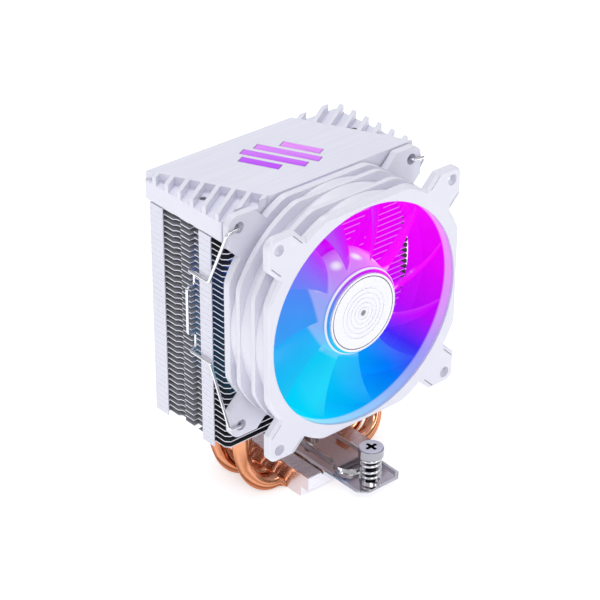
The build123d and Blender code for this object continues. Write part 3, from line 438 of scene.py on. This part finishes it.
def base_look():
    """Satin nickel with painted reflections: warmer on its top and sides, and bright in front."""
    t = surface("base_nickel", (0.5, 0.5, 0.5), 0.24, 1.0, mottle=0.03, grain_scale=2600.0,
                stretch=(0.04, 1.0, 1.0), grain=0.05, rough_spread=0.06, edge=0.15 * MM)
    normal = t.parts(t.node("ShaderNodeNewGeometry").outputs["Normal"])
    # painted reflection: bright on faces turned to the front, warm on the top and sides
    bright = t.span(normal[1], -0.4, -0.9)
    painted_light_tone = t.mix(bright, (0.76, 0.66, 0.66), (0.86, 0.85, 0.92))
    recolour(t, t.mix(1.0, painted_light_tone, t.ramp(t.fine, [(0.3, (0.97, 0.97, 0.97)), (0.7, (1, 1, 1))]),
                      "MULTIPLY"))
    return t


def bar_look():
    """Bright nickel tray, with a painted reflection of the copper: warm inside."""
    t = surface("bar_nickel", (0.8, 0.8, 0.82), 0.10, 1.0, mottle=0.02, grain=0.01,
                rough_spread=0.03, edge=0.25 * MM)
    low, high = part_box("mounting_bar")
    x, y, z = t.parts(t.coords)
    normal = t.parts(t.node("ShaderNodeNewGeometry").outputs["Normal"])
    # painted reflection of the copper: the rim stays bright; only the tray floor and the raised
    # middle are warm
    inner = t.math("MAXIMUM", t.span(z, low.z + 1.5 * MM, low.z + 1.3 * MM),
                   t.span(z, low.z + 2.2 * MM, low.z + 2.4 * MM))
    flat = t.math("MULTIPLY", t.span(normal[2], 0.8, 0.95), inner)
    near = t.span(y, low.y + 4 * MM, low.y + 30 * MM)
    warm = t.mix(near, (0.66, 0.61, 0.63), (0.58, 0.43, 0.40))
    recolour(t, t.mix(flat, t.colour, warm))
    return t


def screw_look(name, node):
    """Turned steel head with a brushed top, a painted reflection that keeps its side darker, and
    painted shade in its dark cross recess.
    """
    low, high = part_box(node)
    cx, cy = (low.x + high.x) / 2, (low.y + high.y) / 2
    t = surface(name, (0.40, 0.40, 0.43), 0.22, 1.0, mottle=0.04, grain_scale=2400.0, grain=0.05,
                edge=0.15 * MM)
    x, y, z = t.parts(t.coords)
    normal = t.parts(t.node("ShaderNodeNewGeometry").outputs["Normal"])
    radius = t.distance(x, cx, y, cy)
    top = t.math("MULTIPLY", t.span(normal[2], 0.85, 0.97), t.span(z, high.z - 1.0 * MM, high.z))
    recess = t.math("MULTIPLY", t.span(z, high.z - 0.12 * MM, high.z - 0.3 * MM),
                    t.span(radius, 3.0 * MM, 2.8 * MM))
    rings = t.node("ShaderNodeTexNoise", noise_dimensions="1D")
    t.join(t.math("MULTIPLY", radius, 4000.0), rings.inputs["W"])
    turned = t.ramp(rings.outputs["Fac"], [(0.3, (0.80, 0.80, 0.84)), (0.7, (0.92, 0.92, 0.96))])
    # painted reflection: the side stays darker than the bright turned top
    colour = t.mix(top, t.colour, turned)
    # painted shade: the cross recess is nearly black
    recolour(t, t.mix(recess, colour, (0.012, 0.012, 0.014)))
    return t


def lit_board_look(name="motor_board_lit", colour=(0.30, 0.30, 0.33), metallic=0.0):
    """Motor parts under the rotor, coloured by the lamps where a gap shows them."""
    t = surface(name, colour, 0.4, metallic)
    x, y, z = t.parts(t.coords)
    radius = t.distance(x, FAN_X, z, FAN_Z)
    lit_by_fan(t, glow_colour(t, x, z), t.span(radius, HUB_R - 4.0 * MM, HUB_R - 2.0 * MM), 0.8)
    return t


def cap_look():
    """White hub cap with painted shade: a grey line by the rim, soft grey in the rings, dark at
    the centre.
    """
    t = surface("cap_white", (0.87, 0.87, 0.95), 0.28, mottle=0.008, grain=0.03, edge=0.2 * MM)
    x, y, z = t.parts(t.coords)
    radius = t.distance(x, FAN_X, z, FAN_Z)
    # painted shade on the groove floors, greyer in the groove by the rim, and dark at the centre
    floor = t.span(y, hub_low.y + 0.10 * MM, hub_low.y + 0.2 * MM)
    outer = t.math("MULTIPLY", t.span(radius, HUB_R - 3.4 * MM, HUB_R - 3.1 * MM),
                   t.span(radius, HUB_R - 1.75 * MM, HUB_R - 1.95 * MM))
    grey = t.mix(outer, (0.70, 0.70, 0.77), (0.30, 0.30, 0.33))
    centre_painted_shade = t.span(radius, 1.6 * MM, 0.9 * MM)
    grey = t.mix(centre_painted_shade, grey, (0.22, 0.22, 0.25))
    recolour(t, t.mix(t.math("MAXIMUM", floor, centre_painted_shade), t.colour, grey))
    return t


frame_white = fan_white_look()
cover_white = cover_look()
fin_white = fin_look()
copper = copper_look()
base_nickel = base_look()
bar_nickel = bar_look()
rotor_glow = rotor_look()
ring_glow = light_ring_look()
lens_glow = lens_look()
cap_white = cap_look()
chrome = surface("bright_nickel", (0.80, 0.80, 0.82), 0.10, 1.0, mottle=0.02, grain=0.01,
                 rough_spread=0.03)
steel = surface("small_screw_steel", (0.30, 0.30, 0.32), 0.28, 1.0, mottle=0.04)
dark_steel = surface("core_steel", (0.25, 0.25, 0.27), 0.35, 1.0, mottle=0.05)
board = surface("circuit_board", (0.02, 0.09, 0.05), 0.4)
lit_board = lit_board_look()
lit_yoke = lit_board_look("core_steel_lit", (0.25, 0.25, 0.27), 1.0)
bronze = surface("bearing_bronze", (0.5, 0.3, 0.12), 0.35, 1.0)
coil = surface("coil_wire", (0.6, 0.2, 0.06), 0.25, 1.0, stretch=(1, 1, 12))
magnet = surface("magnet_black", (0.03, 0.03, 0.032), 0.6)
led = surface("led", (0.8, 0.78, 0.7), 0.3)

looks = {
    "base_block": base_nickel, "fin_stack": fin_white, "end_plate": fin_white,
    "top_cover": cover_white, "cover_lens": lens_glow, "cover_light_board": board,
    "cover_leds": led, "cover_screws": steel, "mounting_bar": bar_nickel, "bar_screws": steel,
    "fan_front_flange": frame_white, "fan_duct": frame_white, "fan_rear_frame": frame_white,
    "duct_light_ring": ring_glow, "motor_board": lit_board, "fan_leds": led,
    "bearing_sleeve": bronze, "stator_core": dark_steel, "stator_coils": coil,
    "bearing_cap": frame_white, "impeller": rotor_glow, "hub_cap": cap_white,
    "rotor_yoke": lit_yoke, "magnet_ring": magnet, "rotor_shaft": dark_steel,
    "shaft_clip": steel, "wire_clip_left": chrome, "wire_clip_right": chrome,
}
for number in range(1, 5):
    looks[f"heat_pipe_{number}"] = copper
for end in ("front", "rear"):
    looks[f"spring_screw_{end}"] = screw_look(f"screw_steel_{end}", f"spring_screw_{end}")
    looks[f"screw_washer_{end}"] = chrome
    looks[f"screw_spring_{end}"] = chrome
    looks[f"retaining_ring_{end}"] = steel
for name, look in looks.items():
    for slot in nodes[name].material_slots:
        slot.material = look.material

# ------------------------------------------------------------------ pieces made here


def add_piece(name, mesh, body, look):
    """Link a finished mesh as a piece that rides on a body."""
    piece = bpy.data.objects.new(name, mesh)
    bpy.context.scene.collection.objects.link(piece)
    mesh.materials.append(look.material)
    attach(piece, body)
    return piece


SPRING_TURNS = 4
SPRING_WIRE = 1.2 * MM
SPRING_CLOSING = 0.055         # how far the pitch eases at both ends
SPRING_STEPS = 48              # round one turn
SPRING_SIDES = 14              # round the wire


def coil_spring(end, body):
    """Compression spring whose pitch eases at both ends."""
    low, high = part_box(f"screw_spring_{end}")
    centre = (low + high) / 2
    wire = SPRING_WIRE / 2
    radius = (high.x - low.x) / 2 - wire
    steps = SPRING_STEPS * SPRING_TURNS
    height = high.z - low.z - 2 * wire
    made = bmesh.new()
    rings = []
    for i in range(steps + 1):
        share = i / steps
        angle = math.tau * SPRING_TURNS * share
        rise = share - SPRING_CLOSING * math.sin(math.tau * share)
        middle = Vector((math.cos(angle), math.sin(angle), 0.0)) * radius
        middle += Vector((centre.x, centre.y, low.z + wire + height * rise))
        out = Vector((math.cos(angle), math.sin(angle), 0.0))
        ring = []
        for k in range(SPRING_SIDES):
            bend = math.tau * k / SPRING_SIDES
            ring.append(made.verts.new(middle + wire * (math.cos(bend) * out
                                                        + math.sin(bend) * Vector((0, 0, 1)))))
        rings.append(ring)
    for a, b in zip(rings, rings[1:]):
        for k in range(SPRING_SIDES):
            n = (k + 1) % SPRING_SIDES
            made.faces.new((a[k], b[k], b[n], a[n]))
    made.faces.new(rings[0])
    made.faces.new(rings[-1][::-1])
    bmesh.ops.recalc_face_normals(made, faces=made.faces)
    mesh = bpy.data.meshes.new(f"coil_spring_{end}")
    made.to_mesh(mesh)
    made.free()
    for face in mesh.polygons:
        face.use_smooth = True
    piece = add_piece(f"coil_spring_{end}", mesh, body, chrome)
    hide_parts(f"screw_spring_{end}")
    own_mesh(piece)


for end in ("front", "rear"):
    coil_spring(end, "cooler")


SEAM_WIDTH = 0.22 * MM
SEAM_LIFT = 0.02 * MM


def inlay_seams():
    """Dark seam round each triangle of the inlay's top, so one also crosses each bar."""
    source = nodes["cover_lens"].data
    top = lens_high.z
    made = bmesh.new()
    for face in source.polygons:
        if face.normal.z < 0.9 or abs(source.vertices[face.vertices[0]].co.z - top) > 0.05 * MM:
            continue
        corners = [source.vertices[k].co.copy() for k in face.vertices]
        middle = sum(corners, Vector()) / len(corners)
        inner, outer = [], []
        for corner in corners:
            out = (corner - middle).normalized()
            inner.append(corner - out * SEAM_WIDTH * 0.4)
            outer.append(corner + out * SEAM_WIDTH)
        low_in = [made.verts.new((v.x, v.y, top - SEAM_LIFT)) for v in inner]
        low_out = [made.verts.new((v.x, v.y, top - SEAM_LIFT)) for v in outer]
        top_in = [made.verts.new((v.x, v.y, top + SEAM_LIFT)) for v in inner]
        top_out = [made.verts.new((v.x, v.y, top + SEAM_LIFT)) for v in outer]
        count = len(corners)
        for k in range(count):
            n = (k + 1) % count
            made.faces.new((top_in[k], top_out[k], top_out[n], top_in[n]))
            made.faces.new((low_in[k], low_in[n], low_out[n], low_out[k]))
            made.faces.new((top_in[k], top_in[n], low_in[n], low_in[k]))
            made.faces.new((top_out[k], low_out[k], low_out[n], top_out[n]))
    bmesh.ops.recalc_face_normals(made, faces=made.faces)
    mesh = bpy.data.meshes.new("inlay_seams")
    made.to_mesh(mesh)
    made.free()
    seam_dark = surface("seam_dark", (0.10, 0.08, 0.12), 0.5)
    add_piece("inlay_seams", mesh, "cooler", seam_dark)


inlay_seams()

# ------------------------------------------------------------------ stage and light

floor_mesh = bpy.data.meshes.new("floor")
floor_mesh.from_pydata([(-6, -6, 0), (6, -6, 0), (6, 6, 0), (-6, 6, 0)], [], [(0, 1, 2, 3)])
floor = bpy.data.objects.new("floor", floor_mesh)
bpy.context.scene.collection.objects.link(floor)
floor_look = Tree("floor")
floor_look.set(Base_Color=(0.80, 0.80, 0.81, 1.0), Roughness=0.9, Specular_IOR_Level=0.0,
               Emission_Color=(1.0, 1.0, 1.0, 1.0), Emission_Strength=0.55)
floor_mesh.materials.append(floor_look.material)

world = bpy.data.worlds.new("world")
bpy.context.scene.world = world
world.use_nodes = True
sky = world.node_tree
background = sky.nodes["Background"]
coords = sky.nodes.new("ShaderNodeTexCoord")
split = sky.nodes.new("ShaderNodeSeparateXYZ")
ramp = sky.nodes.new("ShaderNodeValToRGB")
sky.links.new(coords.outputs["Generated"], split.inputs[0])
sky.links.new(split.outputs[2], ramp.inputs[0])
sky.links.new(ramp.outputs[0], background.inputs[0])
while len(ramp.color_ramp.elements) < 6:
    ramp.color_ramp.elements.new(0.5)
# brightness by height: a dark band above the horizon gives the metals something to mirror
SKY = [(0.0, 0.75), (0.10, 0.55), (0.20, 0.20), (0.38, 0.28), (0.55, 0.85), (1.0, 0.80)]
for element, (place, level) in zip(ramp.color_ramp.elements, SKY):
    element.position = place
    element.color = (level * 0.98, level * 0.985, level, 1.0)
background.inputs[1].default_value = 0.85


def area_light(name, place, target, size, power):
    data = bpy.data.lights.new(name, "AREA")
    data.shape = "RECTANGLE"
    data.size, data.size_y = size
    data.energy = power
    lamp = bpy.data.objects.new(name, data)
    lamp.location = place
    direction = Vector(target) - Vector(place)
    lamp.rotation_euler = direction.to_track_quat("-Z", "Y").to_euler()
    bpy.context.scene.collection.objects.link(lamp)


centre = (0.0, 0.0, 0.07)
area_light("key", (-0.6, -0.9, 0.9), centre, (0.4, 0.4), 3.0)
area_light("left_strip", (-1.0, 0.15, 0.45), centre, (0.12, 0.9), 1.3)
area_light("front_strip", (0.25, -1.1, 0.35), centre, (0.10, 0.8), 1.4)
area_light("top_back", (0.3, 0.4, 1.1), centre, (0.6, 0.4), 4.4)
